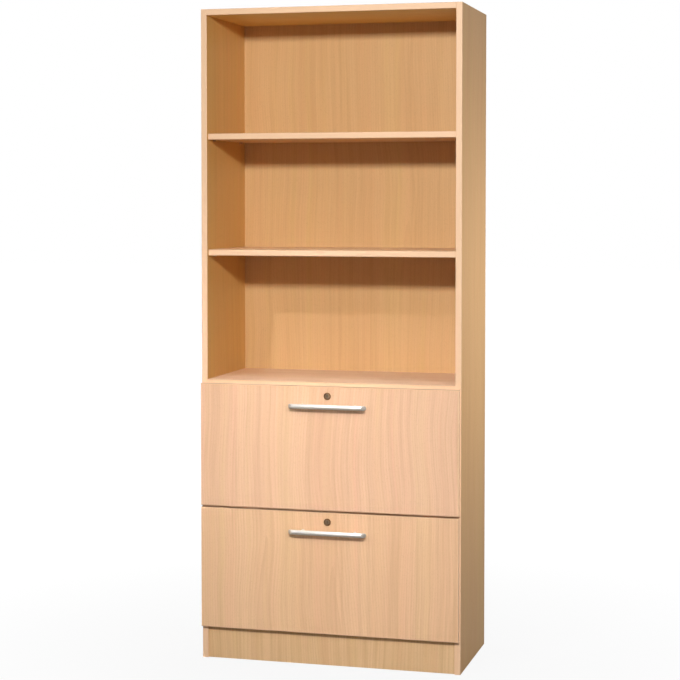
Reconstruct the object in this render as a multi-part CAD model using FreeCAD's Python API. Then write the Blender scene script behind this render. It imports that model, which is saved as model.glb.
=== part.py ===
import FreeCAD, Part
import math
import os

Vector = FreeCAD.Vector

# Tall office cabinet: three open compartments above two lockable filing drawers.
# Millimetres, +Z up, the fronts face -Y, origin on the floor under the middle of the whole part.

# Carcass
carcass_width = 800.0
carcass_depth = 382.0
carcass_height = 1967.0
board = 18.0
band = 2.0
band_round = 1.5
plinth_height = 100.0
plinth_setback = 6.0
deck_top = 852.0
cross_rail_depth = 100.0

# Back panel in its grooves
back_thickness = 8.0
back_inset = 9.0
groove_depth = 8.0
groove_clearance = 0.2

# Loose shelves on pins
lower_shelf_top = 1244.5
upper_shelf_top = 1594.5
shelf_setback = 10.0
shelf_slack = 1.0
pin_diameter = 5.0
pin_depth = 8.0
pin_reach = 9.0
pin_flat_count = 8
pin_inset = 50.0

# Glued dowel joints of the carcass
dowel_diameter = 8.0
dowel_flute_count = 6
dowel_in_side = 11.0
dowel_in_board = 21.0
dowel_inset = 62.0
rail_dowel_inset = 30.0
plinth_dowel_inset = 28.0
bore_clearance = 0.1
bore_overdepth = 1.0

# Drawer fronts
front_reveal = 3.0
front_standoff = 2.0
front_gap = 5.5
lower_front_height = 365.0
deck_edge_shown = 11.0

# Bar handles with mitred ends
handle_drop = 58.0
handle_offset = 5.0
handle_length = 240.0
handle_diameter = 14.0
handle_standoff = 28.0
handle_post_spacing = 160.0
handle_post_diameter = 10.0
seat_clearance = 0.05

# Cam locks and their strikes
lock_drop = 28.5
lock_ring_diameter = 22.0
lock_ring_proud = 1.6
lock_ring_bevel = 0.7
lock_body_diameter = 18.0
lock_body_flat_count = 8
lock_plug_diameter = 14.0
lock_plug_recess = 0.5
keyway_width = 2.4
keyway_height = 8.6
keyway_depth = 12.0
lock_tail_width = 7.0
lock_tail_extra = 2.0
lock_cam_thickness = 3.0
lock_cam_width = 14.0
lock_cam_tip_gap = 1.0
strike_thickness = 1.5
strike_width = 34.0
strike_foot = 22.0
strike_setback = 2.0
strike_cam_drop = 3.5
strike_cam_gap = 1.2
running_clearance = 0.3

# Steel filing drawers
drawer_top_drop = 80.0
drawer_height = 255.0
drawer_rear_clearance = 4.0
sheet = 1.0
wall_bottom_flange = 16.0
wall_top_flange = 12.0
wall_hem = 8.0
back_flange = 12.0
floor_slack = 0.3
floor_bead_count = 4
floor_bead_width = 14.0
floor_bead_height = 2.5
file_rail_thickness = 3.0
file_rail_height = 14.0
file_rail_seat = 12.0
file_rail_slack = 0.1
file_rail_wall_gap = 20.3
file_track_gap = 38.0

# Telescopic ball slides, three rails each
slide_width = 12.7
slide_height = 45.0
slide_length_step = 50.0
slide_shortening = 10.0
slide_setback = 4.0
slide_height_in_drawer = 90.0
slide_sheet = 1.2
ball_diameter = 4.0
ball_clearance = 0.05
ball_side_count = 8
strip_ball_count = 2
cage_length = 150.0
cage_thickness = 0.4
cage_pocket_clearance = 0.1
cage_margin = 1.2
slide_slot_length = 12.0
slide_slot_height = 5.0
slide_slot_inset = 35.0

# Places that follow from the sizes
cut_overrun = 1.0
half_width = carcass_width / 2
inner_half = half_width - board
handle_reach = front_standoff + board + handle_standoff + handle_diameter / 2
front_y = handle_reach - (carcass_depth + handle_reach) / 2
rear_y = front_y + carcass_depth
back_rear_y = rear_y - back_inset
back_front_y = back_rear_y - back_thickness
top_bottom = carcass_height - board
deck_bottom = deck_top - board
floor_top = plinth_height + board
deck_rear_y = back_front_y - shelf_slack
face_y = front_y - front_standoff - board
front_back_y = front_y - front_standoff
lower_front_top = plinth_height + lower_front_height
upper_front_bottom = lower_front_top + front_gap
upper_front_top = deck_top - deck_edge_shown
strike_rise = deck_bottom - upper_front_top + lock_drop
rail_bottom = lower_front_top - lock_drop + strike_rise
rail_top = rail_bottom + board
rail_rear_y = front_y + cross_rail_depth
drawer_half = inner_half - slide_width
wall_front_y = front_back_y + sheet
drawer_end_y = back_front_y - drawer_rear_clearance
wall_rear_y = drawer_end_y - back_flange
slide_front_y = front_y + slide_setback
slide_length = slide_length_step * math.floor((back_front_y - slide_front_y) / slide_length_step)
inner_rail_length = slide_length - slide_shortening
strike_front_y = front_y + strike_setback
lock_cam_front_y = strike_front_y + strike_thickness + strike_cam_gap
drawer_spans = {
    "upper": (upper_front_bottom, upper_front_top),
    "lower": (plinth_height, lower_front_top),
}
sides = {"left": -1, "right": 1}


def box(x_low, x_high, y_low, y_high, z_low, z_high):
    corner = Vector(x_low, y_low, z_low)
    return Part.makeBox(x_high - x_low, y_high - y_low, z_high - z_low, corner)


def rod(start, end, diameter):
    run = end - start
    return Part.makeCylinder(diameter / 2, run.Length, start, run)


def edge_band(x_low, x_high, y_low, y_high, z_low, z_high, outward):
    # Strip glued on a board's edge, rounded along its two long outer edges.
    strip = box(x_low, x_high, y_low, y_high, z_low, z_high)
    centre = strip.CenterOfMass
    longest = max(edge.Length for edge in strip.Edges)
    outer = []
    for edge in strip.Edges:
        runs_along = math.isclose(edge.Length, longest)
        if runs_along and (edge.CenterOfMass - centre).dot(outward) > 0:
            outer.append(edge)
    return strip.makeFillet(band_round, outer)


def folded_sheet(path, thickness, place, sweep):
    # Bent sheet: path is the middle line of its section, place maps a section point into space.
    normals = []
    for start, end in zip(path, path[1:]):
        run = math.dist(start, end)
        normals.append(((start[1] - end[1]) / run, (end[0] - start[0]) / run))
    firsts = [normals[0]] + normals
    seconds = normals + [normals[-1]]
    upper = []
    lower = []
    for point, first, second in zip(path, firsts, seconds):
        bend = 1 + first[0] * second[0] + first[1] * second[1]
        shift_a = (first[0] + second[0]) / bend * thickness / 2
        shift_b = (first[1] + second[1]) / bend * thickness / 2
        upper.append(place(point[0] + shift_a, point[1] + shift_b))
        lower.append(place(point[0] - shift_a, point[1] - shift_b))
    outline = upper + lower[::-1] + upper[:1]
    return Part.Face(Part.makePolygon(outline)).extrude(sweep)


def spread(low, high, count):
    # Places between two ends, with equal gaps to the ends and to each other.
    return [low + (high - low) * (number + 1) / (count + 1) for number in range(count)]


def ring(centre, radius, corners, along):
    # Closed polygon round a line, one flat side facing straight up or down on a level line.
    turn = FreeCAD.Rotation(Vector(0, 0, 1), along)
    points = []
    for number in range(corners):
        angle = 2 * math.pi * (number + 1 / 2) / corners
        spoke = Vector(math.cos(angle), math.sin(angle), 0) * radius / math.cos(math.pi / corners)
        points.append(centre + turn.multVec(spoke))
    return Part.makePolygon(points + points[:1])


def prism(start, end, corners, flat_radius):
    run = end - start
    return Part.Face(ring(start, flat_radius, corners, run)).extrude(run)


def dowel_places():
    # Height and depth of every dowel on one side of the carcass.
    places = []
    for middle_z, rear in (
        (top_bottom + board / 2, rear_y),
        (deck_bottom + board / 2, deck_rear_y),
        (plinth_height + board / 2, rear_y),
    ):
        places.append((front_y + dowel_inset, middle_z))
        places.append((rear - dowel_inset, middle_z))
    for y in (front_y + rail_dowel_inset, rail_rear_y - rail_dowel_inset):
        places.append((y, rail_bottom + board / 2))
    for z in (plinth_dowel_inset, plinth_height - plinth_dowel_inset):
        places.append((front_y + plinth_setback + board / 2, z))
    return places


def carcass_dowels():
    # Fluted dowels through the board ends into the sides, and the bores that they sit in.
    dowels, bores = [], []
    for side in sides.values():
        along = Vector(side, 0, 0)
        for y, z in dowel_places():
            joint = Vector(side * inner_half, y, z)
            start = joint - along * dowel_in_board
            end = joint + along * dowel_in_side
            flat_radius = dowel_diameter / 2 * math.cos(math.pi / dowel_flute_count)
            dowels.append(prism(start, end, dowel_flute_count, flat_radius))
            extra = along * bore_overdepth
            bores.append(prism(start - extra, end + extra, dowel_flute_count, flat_radius + bore_clearance))
    return dowels, bores


def shelf_pins():
    # Steel pins under the two shelves, with a flat on top where the shelf lies, and their bores.
    pins, bores = [], []
    flat_radius = pin_diameter / 2
    for shelf_top in (upper_shelf_top, lower_shelf_top):
        pin_z = shelf_top - board - flat_radius
        for side in sides.values():
            along = Vector(side, 0, 0)
            for y in (front_y + shelf_setback + pin_inset, deck_rear_y - pin_inset):
                wall = Vector(side * inner_half, y, pin_z)
                deep = wall + along * pin_depth
                bore_end = deep + along * bore_overdepth
                pins.append(prism(deep, wall - along * pin_reach, pin_flat_count, flat_radius))
                bores.append(prism(bore_end, wall, pin_flat_count, flat_radius + bore_clearance))
    return pins, bores


def back_groove():
    reach = inner_half + groove_depth
    return (back_front_y - groove_clearance, back_rear_y + groove_clearance,
            floor_top - groove_depth, top_bottom + groove_depth, reach)


def carcass_boards(bores):
    groove_front, groove_rear, groove_low, groove_high, groove_half = back_groove()
    core_y = front_y + band
    boards = {}
    groove = box(-groove_half, groove_half, groove_front, groove_rear, groove_low, groove_high)
    side_groove = box(-groove_half, groove_half, groove_front, groove_rear, 0, carcass_height)
    for name, side in sides.items():
        low, high = sorted((side * inner_half, side * half_width))
        panel = box(low, high, core_y, rear_y, 0, carcass_height)
        boards[name + "_side_panel"] = panel.cut([side_groove] + bores)
    top = box(-inner_half, inner_half, core_y, rear_y, top_bottom, carcass_height)
    boards["top_panel"] = top.cut([groove] + bores)
    deck = box(-inner_half, inner_half, core_y, deck_rear_y, deck_bottom, deck_top)
    boards["fixed_deck"] = deck.cut(bores)
    floor = box(-inner_half, inner_half, core_y, rear_y, plinth_height, floor_top)
    boards["bottom_panel"] = floor.cut([groove] + bores)
    rail = box(-inner_half, inner_half, core_y, rail_rear_y, rail_bottom, rail_top)
    boards["cross_rail"] = rail.cut(bores)
    plinth_y = front_y + plinth_setback
    plinth = box(-inner_half, inner_half, plinth_y, plinth_y + board, 0, plinth_height)
    boards["plinth_board"] = plinth.cut(bores)
    boards["back_panel"] = box(-groove_half + groove_clearance, groove_half - groove_clearance,
                               back_front_y, back_rear_y, groove_low, groove_high - groove_clearance)
    shelf_half = inner_half - shelf_slack
    shelf_y = front_y + shelf_setback + band
    for name, shelf_top in (("upper", upper_shelf_top), ("lower", lower_shelf_top)):
        boards[name + "_shelf"] = box(-shelf_half, shelf_half, shelf_y, deck_rear_y,
                                      shelf_top - board, shelf_top)
    return boards


def carcass_bands():
    forward = Vector(0, -1, 0)
    core_y = front_y + band
    side_bands = []
    for side in sides.values():
        low, high = sorted((side * inner_half, side * half_width))
        side_bands.append(edge_band(low, high, front_y, core_y, 0, carcass_height, forward))
    board_bands = []
    for low in (top_bottom, deck_bottom, rail_bottom, plinth_height):
        board_bands.append(edge_band(-inner_half, inner_half, front_y, core_y, low, low + board, forward))
    shelf_half = inner_half - shelf_slack
    shelf_y = front_y + shelf_setback
    for shelf_top in (upper_shelf_top, lower_shelf_top):
        board_bands.append(edge_band(-shelf_half, shelf_half, shelf_y, shelf_y + band,
                                     shelf_top - board, shelf_top, forward))
    return {"side_edge_bands": side_bands, "board_edge_bands": board_bands}


def lock_strike(underside):
    # Angle under a board: its hanging leg stands in front of the turned-up lock cam.
    leg = strike_rise - lock_cam_width / 2 - strike_cam_drop
    half = strike_thickness / 2
    path = [
        (strike_front_y + strike_foot, underside - half),
        (strike_front_y + half, underside - half),
        (strike_front_y + half, underside - leg),
    ]
    return folded_sheet(path, strike_thickness, lambda y, z: Vector(-strike_width / 2, y, z),
                        Vector(strike_width, 0, 0))


def drawer_front(low, high):
    half = half_width - front_reveal
    lock_z = high - lock_drop
    core = box(-half + band, half - band, face_y, front_back_y, low + band, high - band)
    bore = rod(Vector(0, face_y - cut_overrun, lock_z), Vector(0, front_back_y + cut_overrun, lock_z),
               lock_body_diameter + 2 * bore_clearance)
    bands = [
        edge_band(-half, half, face_y, front_back_y, high - band, high, Vector(0, 0, 1)),
        edge_band(-half, half, face_y, front_back_y, low, low + band, Vector(0, 0, -1)),
        edge_band(-half, -half + band, face_y, front_back_y, low + band, high - band, Vector(-1, 0, 0)),
        edge_band(half - band, half, face_y, front_back_y, low + band, high - band, Vector(1, 0, 0)),
    ]
    return core.cut(bore), bands


def handle(high):
    # Round bar, mitred so that its front line is shorter than its back line, on two round posts.
    bar_y = face_y - handle_standoff
    bar_z = high - handle_drop
    radius = handle_diameter / 2
    left = handle_offset - handle_length / 2
    right = handle_offset + handle_length / 2
    round_bar = rod(Vector(left, bar_y, bar_z), Vector(right, bar_y, bar_z), handle_diameter)
    mitre = Part.makePolygon([
        Vector(left, bar_y + radius, bar_z - radius),
        Vector(right, bar_y + radius, bar_z - radius),
        Vector(right - handle_diameter, bar_y - radius, bar_z - radius),
        Vector(left + handle_diameter, bar_y - radius, bar_z - radius),
        Vector(left, bar_y + radius, bar_z - radius),
    ])
    bar = round_bar.common(Part.Face(mitre).extrude(Vector(0, 0, handle_diameter)))
    cope = rod(Vector(left, bar_y, bar_z), Vector(right, bar_y, bar_z), handle_diameter + 2 * seat_clearance)
    posts = []
    for side in sides.values():
        x = handle_offset + side * handle_post_spacing / 2
        post = rod(Vector(x, face_y, bar_z), Vector(x, bar_y, bar_z), handle_post_diameter)
        posts.append(post.cut(cope))
    return bar, posts


def lock(high):
    # Cam lock: a ringed housing with a flatted body, a plug with a keyway, and a cam on its square tail.
    z = high - lock_drop
    ring_y = face_y - lock_ring_proud
    housing_end_y = lock_cam_front_y - running_clearance
    rim = lock_ring_diameter / 2
    outline = [
        Vector(0, ring_y, z),
        Vector(rim - lock_ring_bevel, ring_y, z),
        Vector(rim, ring_y + lock_ring_bevel, z),
        Vector(rim, face_y, z),
        Vector(0, face_y, z),
        Vector(0, ring_y, z),
    ]
    housing = Part.Face(Part.makePolygon(outline)).revolve(Vector(0, 0, z), Vector(0, 1, 0), 360)
    flat_radius = lock_body_diameter / 2 * math.cos(math.pi / lock_body_flat_count)
    body = prism(Vector(0, face_y, z), Vector(0, housing_end_y, z), lock_body_flat_count, flat_radius)
    bore = rod(Vector(0, ring_y - cut_overrun, z), Vector(0, housing_end_y + cut_overrun, z),
               lock_plug_diameter + 2 * running_clearance)
    housing = housing.fuse(body).cut(bore)
    plug_y = ring_y + lock_plug_recess
    tail = lock_tail_width / 2
    tail_end_y = lock_cam_front_y + lock_cam_thickness + lock_tail_extra
    plug = rod(Vector(0, plug_y, z), Vector(0, housing_end_y, z), lock_plug_diameter)
    plug = plug.fuse(box(-tail, tail, housing_end_y, tail_end_y, z - tail, z + tail))
    keyway = box(-keyway_width / 2, keyway_width / 2, plug_y - cut_overrun, plug_y + keyway_depth,
                 z - keyway_height / 2, z + keyway_height / 2)
    return housing, plug.cut(keyway), lock_cam(z)


def lock_cam(z):
    # Flat lever with round ends, pointing sideways while the drawer is free to open.
    half = lock_cam_width / 2
    tip = strike_rise - strike_thickness - lock_cam_tip_gap - half
    y = lock_cam_front_y
    outline = Part.Wire([
        Part.LineSegment(Vector(-tip, y, z + half), Vector(0, y, z + half)).toShape(),
        Part.Arc(Vector(0, y, z + half), Vector(half, y, z), Vector(0, y, z - half)).toShape(),
        Part.LineSegment(Vector(0, y, z - half), Vector(-tip, y, z - half)).toShape(),
        Part.Arc(Vector(-tip, y, z - half), Vector(-tip - half, y, z), Vector(-tip, y, z + half)).toShape(),
    ])
    lever = Part.Face(outline).extrude(Vector(0, lock_cam_thickness, 0))
    hole = lock_tail_width / 2 + seat_clearance
    square = box(-hole, hole, y - cut_overrun, y + lock_cam_thickness + cut_overrun, z - hole, z + hole)
    return lever.cut(square)


def file_rail_places():
    # Two tracks side by side: the files hang between an inner and an outer rail.
    inner = file_track_gap / 2
    outer = drawer_half - file_rail_wall_gap
    return [-outer, -inner, inner, outer]


def file_rails(top):
    seat_z = top - file_rail_seat
    half = file_rail_thickness / 2
    rails = []
    for x in file_rail_places():
        rails.append(box(x - half, x + half, front_back_y, wall_rear_y + sheet,
                         seat_z, seat_z + file_rail_height))
    return rails


def file_rail_slots(top):
    half = file_rail_thickness / 2 + file_rail_slack
    slots = []
    for x in file_rail_places():
        slots.append(box(x - half, x + half, front_back_y - cut_overrun, wall_rear_y + sheet,
                         top - file_rail_seat, top + cut_overrun))
    return slots


def drawer_box(top):
    # Sheet-steel tray: two folded walls, an inner front, a flanged back and a beaded floor.
    bottom = top - drawer_height
    half_sheet = sheet / 2
    wall_path = [
        (wall_bottom_flange, bottom + half_sheet),
        (half_sheet, bottom + half_sheet),
        (half_sheet, top - half_sheet),
        (wall_top_flange, top - half_sheet),
        (wall_top_flange, top - wall_hem),
    ]
    pieces = {}
    for name, side in sides.items():
        pieces[name + "_wall"] = folded_sheet(
            wall_path, sheet,
            lambda inward, z, side=side: Vector(side * (drawer_half - inward), wall_front_y, z),
            Vector(0, wall_rear_y - wall_front_y, 0))
    slots = file_rail_slots(top)
    inner_front = box(-drawer_half, drawer_half, front_back_y, wall_front_y, bottom, top)
    pieces["inner_front"] = inner_front.cut(slots)
    back_path = [
        (drawer_end_y, bottom + half_sheet),
        (wall_rear_y + half_sheet, bottom + half_sheet),
        (wall_rear_y + half_sheet, top - half_sheet),
        (drawer_end_y, top - half_sheet),
    ]
    back = folded_sheet(back_path, sheet, lambda y, z: Vector(-drawer_half, y, z),
                        Vector(2 * drawer_half, 0, 0))
    pieces["back_wall"] = back.cut(slots)
    pieces["floor_sheet"] = drawer_floor(bottom + sheet)
    return pieces


def drawer_floor(low):
    # Floor lying on the walls' flanges, stiffened by beads that run from side to side.
    flat_z = low + sheet / 2
    bead_z = flat_z + floor_bead_height
    path = [(wall_front_y, flat_z)]
    for middle in spread(wall_front_y, wall_rear_y, floor_bead_count):
        foot = floor_bead_width / 2
        crest = foot - floor_bead_height
        path.append((middle - foot, flat_z))
        path.append((middle - crest, bead_z))
        path.append((middle + crest, bead_z))
        path.append((middle + foot, flat_z))
    path.append((wall_rear_y, flat_z))
    half = drawer_half - sheet - floor_slack
    return folded_sheet(path, sheet, lambda y, z: Vector(-half, y, z), Vector(2 * half, 0, 0))


# Slide section: across is measured from the cabinet side towards the drawer, up from the slide's middle
race_radius = ball_diameter / 2 + ball_clearance + slide_sheet / 2
race_flat = race_radius * math.tan(math.pi / 8)
outer_ball_across = slide_sheet / 2 + race_radius
outer_ball_up = slide_height / 2 - slide_sheet / 2 - race_radius
inner_ball_across = slide_width - running_clearance - slide_sheet / 2 * math.cos(math.pi / 4) - race_radius
inner_ball_up = outer_ball_up - race_flat - race_radius


def mirrored_path(upper_half):
    lower_half = [(across, -up) for across, up in upper_half]
    return lower_half[::-1] + upper_half


def slide_paths():
    cabinet = [
        (outer_ball_across - race_radius, outer_ball_up + race_flat),
        (outer_ball_across - race_flat, outer_ball_up + race_radius),
        (outer_ball_across + race_flat, outer_ball_up + race_radius),
        (outer_ball_across + race_radius, outer_ball_up + race_flat),
    ]
    middle = [
        (outer_ball_across - race_flat, outer_ball_up - race_radius),
        (outer_ball_across + race_flat, outer_ball_up - race_radius),
        (outer_ball_across + race_radius, outer_ball_up - race_flat),
        (inner_ball_across + race_flat, inner_ball_up + race_radius),
        (inner_ball_across + race_radius, inner_ball_up + race_flat),
    ]
    drawer = [
        (slide_width - slide_sheet / 2, inner_ball_up - race_radius),
        (inner_ball_across - race_flat, inner_ball_up - race_radius),
        (inner_ball_across - race_radius, inner_ball_up - race_flat),
    ]
    return {"cabinet": cabinet, "middle": middle, "drawer": drawer}


def slide_rail(side, z, kind):
    length = slide_length if kind == "cabinet" else inner_rail_length
    path = mirrored_path(slide_paths()[kind])
    rail = folded_sheet(
        path, slide_sheet,
        lambda across, up: Vector(side * (inner_half - across), slide_front_y, z + up),
        Vector(0, length, 0))
    if kind == "middle":
        return rail
    slots = []
    for y in (slide_front_y + slide_slot_inset, slide_front_y + length - slide_slot_inset):
        low, high = sorted((side * inner_half, side * drawer_half))
        slots.append(box(low, high, y - slide_slot_length / 2, y + slide_slot_length / 2,
                         z - slide_slot_height / 2, z + slide_slot_height / 2))
    return rail.cut(slots)


def slide_ball(centre):
    # Ball with few faces, its flats on the races above and below.
    upright = Vector(0, 0, 1)
    radius = ball_diameter / 2
    flat = radius * math.tan(math.pi / ball_side_count)
    rings = []
    for rise, reach in ((-radius, flat), (-flat, radius), (flat, radius), (radius, flat)):
        rings.append(ring(centre + upright * rise, reach, ball_side_count, upright))
    return Part.makeLoft(rings, True, True)


def ball_cage(side, z, stage):
    # Two strips of caged balls, one above and one below, centred on the middle rail while it is shut.
    across, up = (outer_ball_across, outer_ball_up)
    low, high = (slide_sheet + running_clearance, outer_ball_across + race_radius + cage_margin / 2)
    if stage == "inner":
        across, up = (inner_ball_across, inner_ball_up)
        reach = ball_diameter / 2 + cage_margin / 2
        low, high = (inner_ball_across - reach, inner_ball_across + reach)
    middle_y = slide_front_y + inner_rail_length / 2
    first = middle_y - cage_length / 2
    last = middle_y + cage_length / 2
    places = spread(first, last, strip_ball_count)
    x_low, x_high = sorted((side * (inner_half - low), side * (inner_half - high)))
    pieces = []
    for centre_z in (z - up, z + up):
        strip = box(x_low, x_high, first, last, centre_z - cage_thickness / 2, centre_z + cage_thickness / 2)
        centres = [Vector(side * (inner_half - across), y, centre_z) for y in places]
        pocket = ball_diameter / 2 + cage_pocket_clearance
        pockets = [box(c.x - pocket, c.x + pocket, c.y - pocket, c.y + pocket, c.z - pocket, c.z + pocket)
                   for c in centres]
        pieces.append(strip.cut(pockets))
        pieces.extend(slide_ball(c) for c in centres)
    return pieces


def drawer_nodes(name, low, high):
    nodes = {}
    front, bands = drawer_front(low, high)
    bar, posts = handle(high)
    housing, plug, cam = lock(high)
    top = high - drawer_top_drop
    nodes["drawer_front"] = [front]
    nodes["front_edge_bands"] = bands
    nodes["handle_bar"] = [bar]
    nodes["handle_posts"] = posts
    nodes["lock_housing"] = [housing]
    nodes["lock_plug"] = [plug]
    nodes["lock_cam"] = [cam]
    for piece, shape in drawer_box(top).items():
        nodes["drawer_" + piece] = [shape]
    nodes["file_rails"] = file_rails(top)
    slide_z = top - drawer_height + slide_height_in_drawer
    for side_name, side in sides.items():
        for kind in slide_paths():
            nodes[side_name + "_slide_" + kind + "_rail"] = [slide_rail(side, slide_z, kind)]
    for stage in ("outer", "inner"):
        cages = [ball_cage(side, slide_z, stage) for side in sides.values()]
        nodes[stage + "_ball_cages"] = sum(cages, [])
    return {name + "_" + node: solids for node, solids in nodes.items()}


def all_nodes():
    dowels, bores = carcass_dowels()
    pins, pin_bores = shelf_pins()
    nodes = {name: [shape] for name, shape in carcass_boards(bores + pin_bores).items()}
    nodes.update(carcass_bands())
    nodes["shelf_pins"] = pins
    nodes["carcass_dowels"] = dowels
    nodes["upper_lock_strike"] = [lock_strike(deck_bottom)]
    nodes["lower_lock_strike"] = [lock_strike(rail_bottom)]
    for name, (low, high) in drawer_spans.items():
        nodes.update(drawer_nodes(name, low, high))
    return nodes


os.makedirs("parts", exist_ok=True)
for node, solids in all_nodes().items():
    shape = solids[0] if len(solids) == 1 else Part.makeCompound(solids)
    shape.exportStep("parts/" + node + ".step")
    print(node, len(shape.Solids), shape.isValid())
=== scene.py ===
import math
import bmesh
import bpy
from mathutils import Matrix, Vector


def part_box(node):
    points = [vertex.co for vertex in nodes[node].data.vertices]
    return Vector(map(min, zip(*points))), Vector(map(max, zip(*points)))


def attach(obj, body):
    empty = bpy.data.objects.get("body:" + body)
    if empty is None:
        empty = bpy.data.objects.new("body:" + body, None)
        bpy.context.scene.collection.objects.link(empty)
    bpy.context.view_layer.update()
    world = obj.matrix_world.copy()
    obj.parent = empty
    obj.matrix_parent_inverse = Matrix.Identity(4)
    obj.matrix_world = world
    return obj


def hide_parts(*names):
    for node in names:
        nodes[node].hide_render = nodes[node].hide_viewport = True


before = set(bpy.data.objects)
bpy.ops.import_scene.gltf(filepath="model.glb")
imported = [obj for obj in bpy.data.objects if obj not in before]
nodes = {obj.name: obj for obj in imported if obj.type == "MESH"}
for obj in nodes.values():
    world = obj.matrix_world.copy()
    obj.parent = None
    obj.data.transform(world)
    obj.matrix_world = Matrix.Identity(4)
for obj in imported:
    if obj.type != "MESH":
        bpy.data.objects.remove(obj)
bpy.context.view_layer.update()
scene = bpy.context.scene
drawers = ("upper_", "lower_")


# Node helpers: one call per node, sockets take a value or a link
def addNode(tree, kind, inputs=None, **settings):
    node = tree.nodes.new(kind)
    for key, value in settings.items():
        setattr(node, key, value)
    for key, value in (inputs or {}).items():
        if isinstance(value, bpy.types.NodeSocket):
            tree.links.new(value, node.inputs[key])
        else:
            node.inputs[key].default_value = value
    return node


def calc(tree, operation, first, second=0.0, third=0.0):
    inputs = {0: first, 1: second, 2: third}
    return addNode(tree, "ShaderNodeMath", inputs, operation=operation).outputs[0]


def blendColors(tree, amount, first, second, mode="MIX"):
    inputs = {0: amount, 6: first, 7: second}  # 6 and 7 are the two colours of a Mix node
    return addNode(tree, "ShaderNodeMix", inputs, data_type="RGBA", blend_type=mode).outputs[2]


def remap(tree, value, low, high, newLow=0.0, newHigh=1.0):
    inputs = {"Value": value, "From Min": low, "From Max": high, "To Min": newLow, "To Max": newHigh}
    return addNode(tree, "ShaderNodeMapRange", inputs).outputs["Result"]


def stretchedNoise(tree, vector, scale, detail=2.0, roughness=0.5, shift=(0.0, 0.0, 0.0)):
    spread = addNode(tree, "ShaderNodeMapping", {"Vector": vector, "Scale": scale, "Location": shift})
    inputs = {"Vector": spread.outputs[0], "Scale": 1.0, "Detail": detail, "Roughness": roughness}
    return addNode(tree, "ShaderNodeTexNoise", inputs).outputs["Fac"]


def objectCoords(tree):
    return addNode(tree, "ShaderNodeTexCoord").outputs["Object"]


def joinAxes(tree, x, y, z):
    return addNode(tree, "ShaderNodeCombineXYZ", {"X": x, "Y": y, "Z": z}).outputs[0]


def splitAxes(tree, vector):
    return addNode(tree, "ShaderNodeSeparateXYZ", {0: vector}).outputs


def facingOf(tree):
    return splitAxes(tree, addNode(tree, "ShaderNodeNewGeometry").outputs["True Normal"])


def colorPart(tree, color, part):
    return addNode(tree, "ShaderNodeSeparateColor", {0: color}).outputs[part]


noiseBand = (0.3, 0.7)  # most of a noise lies in this band
streaky = {"detail": 3.0, "roughness": 0.6}
facingLimit = 0.5  # past this a face counts as turned to an axis
opaque = (1.0,)


def roughnessFrom(tree, pattern, roughness, spread):
    less, more = spread
    return remap(tree, pattern, *noiseBand, roughness - less, roughness + more)


def emptyTree(owner):
    owner.use_nodes = True
    owner.node_tree.nodes.clear()
    return owner.node_tree


def newMaterial(name):
    material = bpy.data.materials.new(name)
    tree = emptyTree(material)
    shader = addNode(tree, "ShaderNodeBsdfPrincipled")
    addNode(tree, "ShaderNodeOutputMaterial", {"Surface": shader.outputs[0]})
    return material, tree, shader


def linkShader(tree, shader, color, rough, bump=None):
    tree.links.new(color, shader.inputs["Base Color"])
    tree.links.new(rough, shader.inputs["Roughness"])
    if bump:
        tree.links.new(bump.outputs[0], shader.inputs["Normal"])


def paint(names, material):
    for name in names:
        for slot in nodes[name].material_slots:
            slot.material = material


# Beech laminate: tone streaks, growth rings cut flat, fibres and the short dark flecks of beech
beech = {
    "pale": (0.82, 0.535, 0.345, 1.0),
    "rosy": (0.82, 0.495, 0.325, 1.0),
    "straw": (0.79, 0.535, 0.305, 1.0),
    "lateWood": (0.64, 0.37, 0.215, 1.0),
    "fleck": (0.46, 0.25, 0.13, 1.0),
    "leafWidth": 0.31,
    "drift": 0.045,
    "swayReach": 0.09,
    "heartDepth": 0.010,
    "heartWander": 0.060,
    "ringWidth": 0.0075,
    "ringFray": 0.7,
    "ringSharpness": 2.4,
    "ringStrength": 0.34,
    "ringFaintShare": 0.45,
    "streakStrength": 0.40,
    "broadStrength": 0.16,
    "fibreStrength": 0.10,
    "fleckStrength": 0.45,
    "fleckScale": (900.0, 1.0, 150.0),
    "fleckRarity": 0.55,
    "hueBand": (0.35, 0.65),
    "toneBand": (0.3, 0.62),
    "streakBand": (0.46, 0.74),
    "broadBand": (0.35, 0.65),
    "fibreBand": (0.35, 0.7),
    "fleckBand": (0.16, 0.34),
    "roughSpread": (0.04, 0.06),
    "bump": 0.12,
    "relief": 0.0003,
    # Noises of the grain, with their scale across, through and along the board
    "layers": {
        "drift": {"scale": (3.0, 1.0, 2.6), "detail": 1.0, "shift": (1.3, 0.2, 4.4)},
        "sway": {"scale": (2.2, 1.0, 1.1), "detail": 1.0},
        "heart": {"scale": (1.6, 1.0, 0.75), "detail": 1.0, "shift": (3.1, 0.0, 7.7)},
        "fray": {"scale": (46.0, 1.0, 5.0)},
        "tone": {"scale": (34.0, 1.0, 0.9), **streaky},
        "hue": {"scale": (26.0, 1.0, 0.5), "shift": (5.0, 2.0, 1.0)},
        "streak": {"scale": (84.0, 1.0, 1.8), "shift": (2.0, 4.0, 3.0), **streaky},
        "broad": {"scale": (11.0, 1.0, 0.45), "shift": (7.0, 3.0, 2.0)},
        "fibre": {"scale": (520.0, 1.0, 11.0), "detail": 3.0, "roughness": 0.65},
    },
}


def grainLayer(tree, plane, layer):
    return stretchedNoise(tree, plane, **beech["layers"][layer])


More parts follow.
